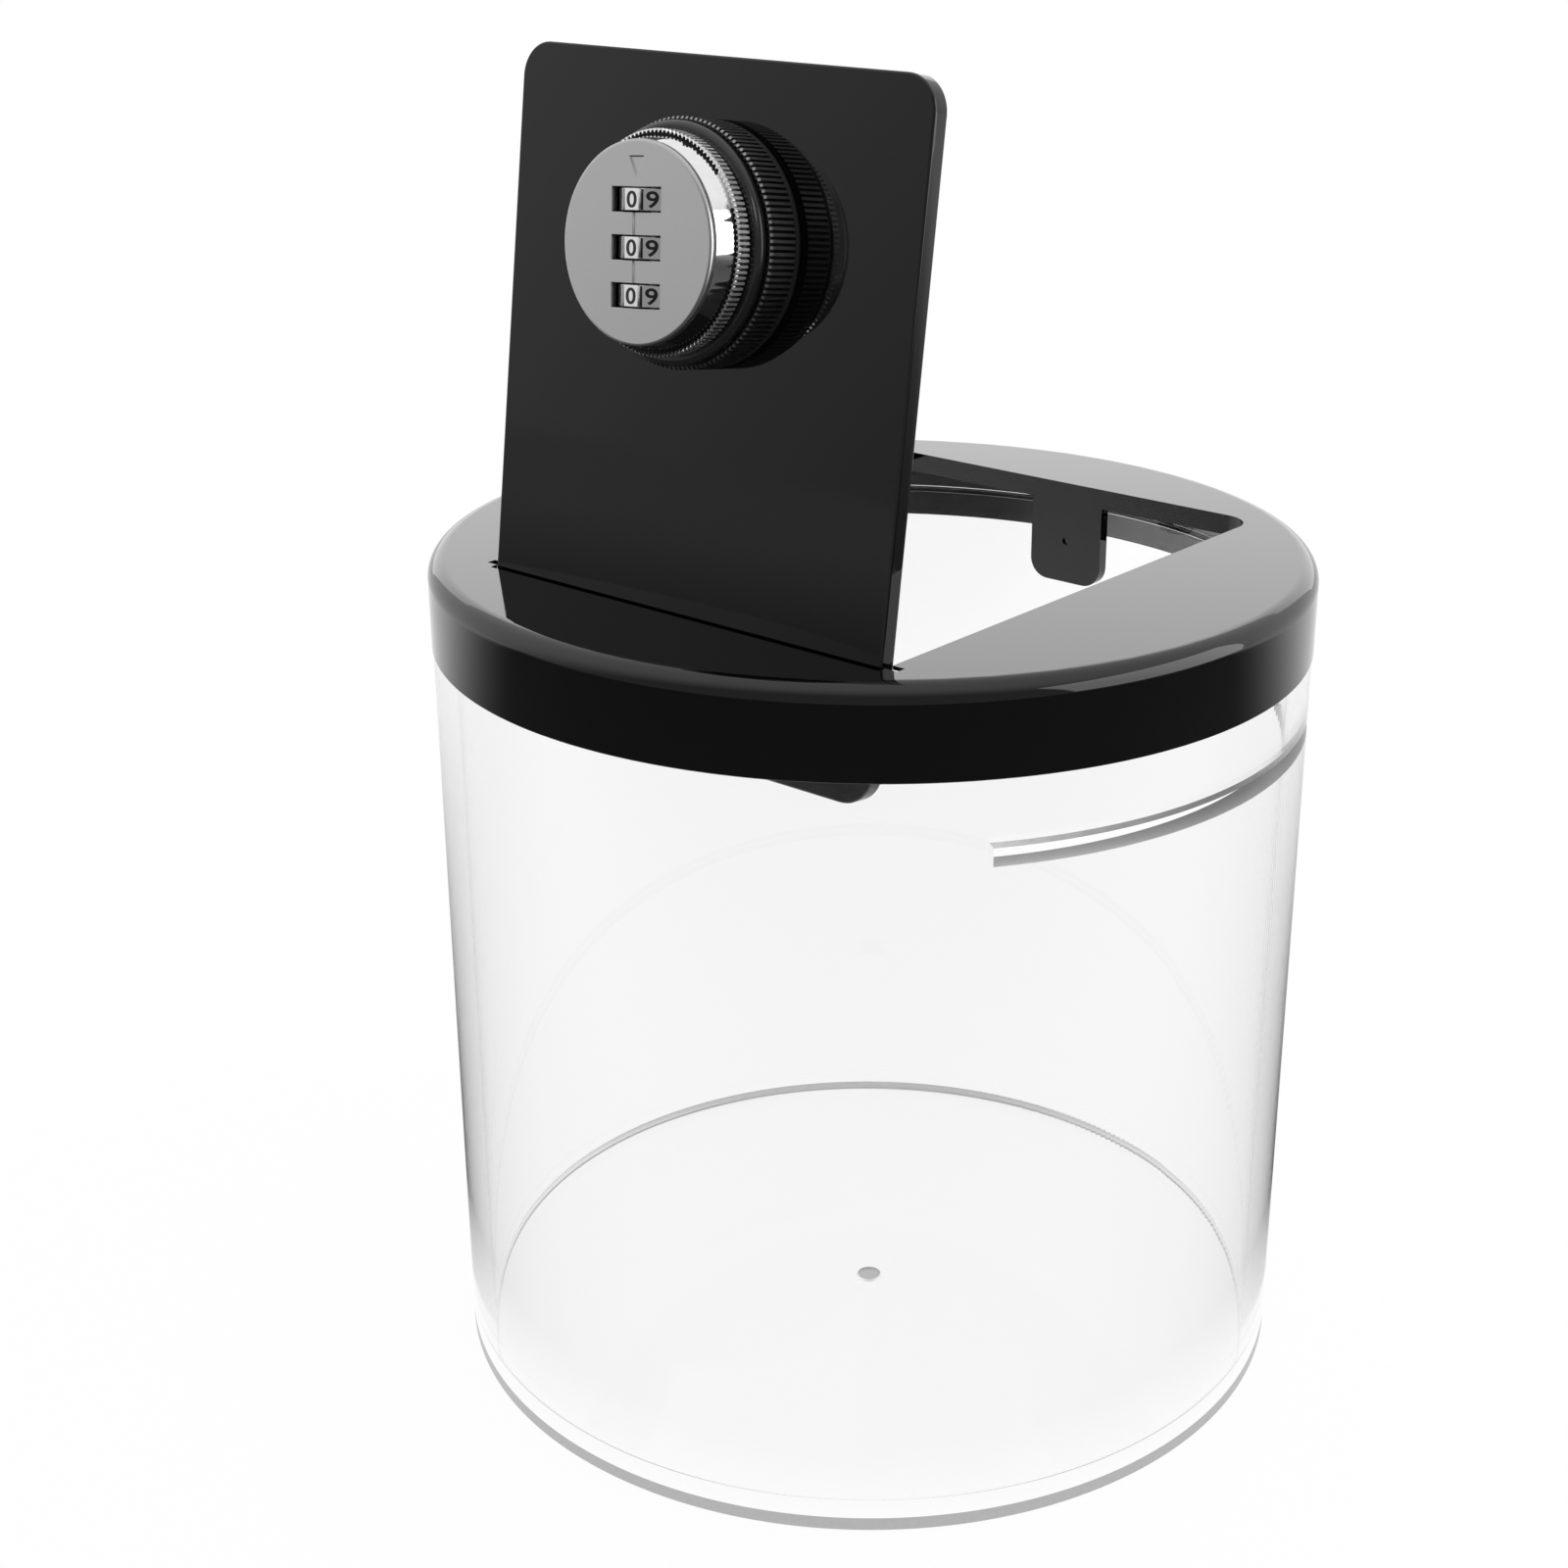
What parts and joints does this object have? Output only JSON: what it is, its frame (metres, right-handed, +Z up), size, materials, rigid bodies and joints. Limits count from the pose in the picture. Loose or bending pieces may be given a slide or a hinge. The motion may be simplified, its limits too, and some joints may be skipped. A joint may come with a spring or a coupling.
{
  "type": "combination coin bank",
  "caption": "Clear round savings jar with a money slot in its wall and a black lid; a locking flap with number wheels and a cam opens the lid.",
  "frame": {"origin": "centre of the jar's underside", "axes": "+Z up along the jar's axis, the flap's hinge side towards -Y, the money slot towards +X"},
  "size_m": [0.14, 0.14, 0.2136],
  "materials": {
    "clear_plastic": "clear moulded polystyrene, polished",
    "black_plastic": "black moulded plastic, high gloss",
    "black_enamel": "black lacquered zinc, semi-gloss, knurled",
    "rubber": "black rubber, matte",
    "chrome": "polished chrome plate",
    "brushed_chrome": "satin chrome plate",
    "dial_metal": "plated zinc wheel with dark digits",
    "steel": "zinc-plated steel",
    "spring_steel": "bare spring strip"
  },
  "bodies": {
    "base": {"jar": "clear_plastic", "lid": "black_plastic"},
    "hinge_pins": {"hinge_pin_left": "steel", "hinge_pin_right": "steel"},
    "flap": {"flap": "black_plastic", "lock_gasket": "rubber", "lock_housing": "black_enamel", "nut_washer": "steel", "lock_nut": "steel"},
    "knob": {"knob": "chrome", "face_plate": "brushed_chrome", "dial_axle": "steel", "dial_spring": "spring_steel", "spindle": "steel", "cam": "steel", "cam_washer": "steel", "cam_screw": "steel"},
    "dial_1": {"dial_1": "dial_metal"},
    "dial_2": {"dial_2": "dial_metal"},
    "dial_3": {"dial_3": "dial_metal"}
  },
  "joints": [
    {"name": "flap_slide", "type": "slide", "parent": "base", "child": "hinge_pins", "axis": [0, 1, 0], "range_m": [0, 0.01738]},
    {"name": "flap_tilt", "type": "hinge", "parent": "hinge_pins", "child": "flap", "pos_m": [0.0025, -0.04708, 0.1356], "axis": [1, 0, 0], "range_deg": [-82, 0]},
    {"name": "knob_turn", "type": "hinge", "parent": "flap", "child": "knob", "pos_m": [0.0032, -0.04104, 0.18867], "axis": [0, -0.9903, 0.1392], "range_deg": [-94.5, 0]},
    {"name": "dial_1_turn", "type": "hinge", "parent": "knob", "child": "dial_1", "pos_m": [0.0032, -0.0512, 0.1901], "axis": [-0.0785, 0.1387, 0.9872], "continuous": true},
    {"name": "dial_2_turn", "type": "hinge", "parent": "knob", "child": "dial_2", "pos_m": [0.0032, -0.0512, 0.1901], "axis": [-0.0785, 0.1387, 0.9872], "continuous": true},
    {"name": "dial_3_turn", "type": "hinge", "parent": "knob", "child": "dial_3", "pos_m": [0.0032, -0.0512, 0.1901], "axis": [-0.0785, 0.1387, 0.9872], "continuous": true}
  ],
  "couplings": [
    {"joint": "flap_slide", "follows": "flap_tilt", "m_per_rad": -0.012146}
  ]
}
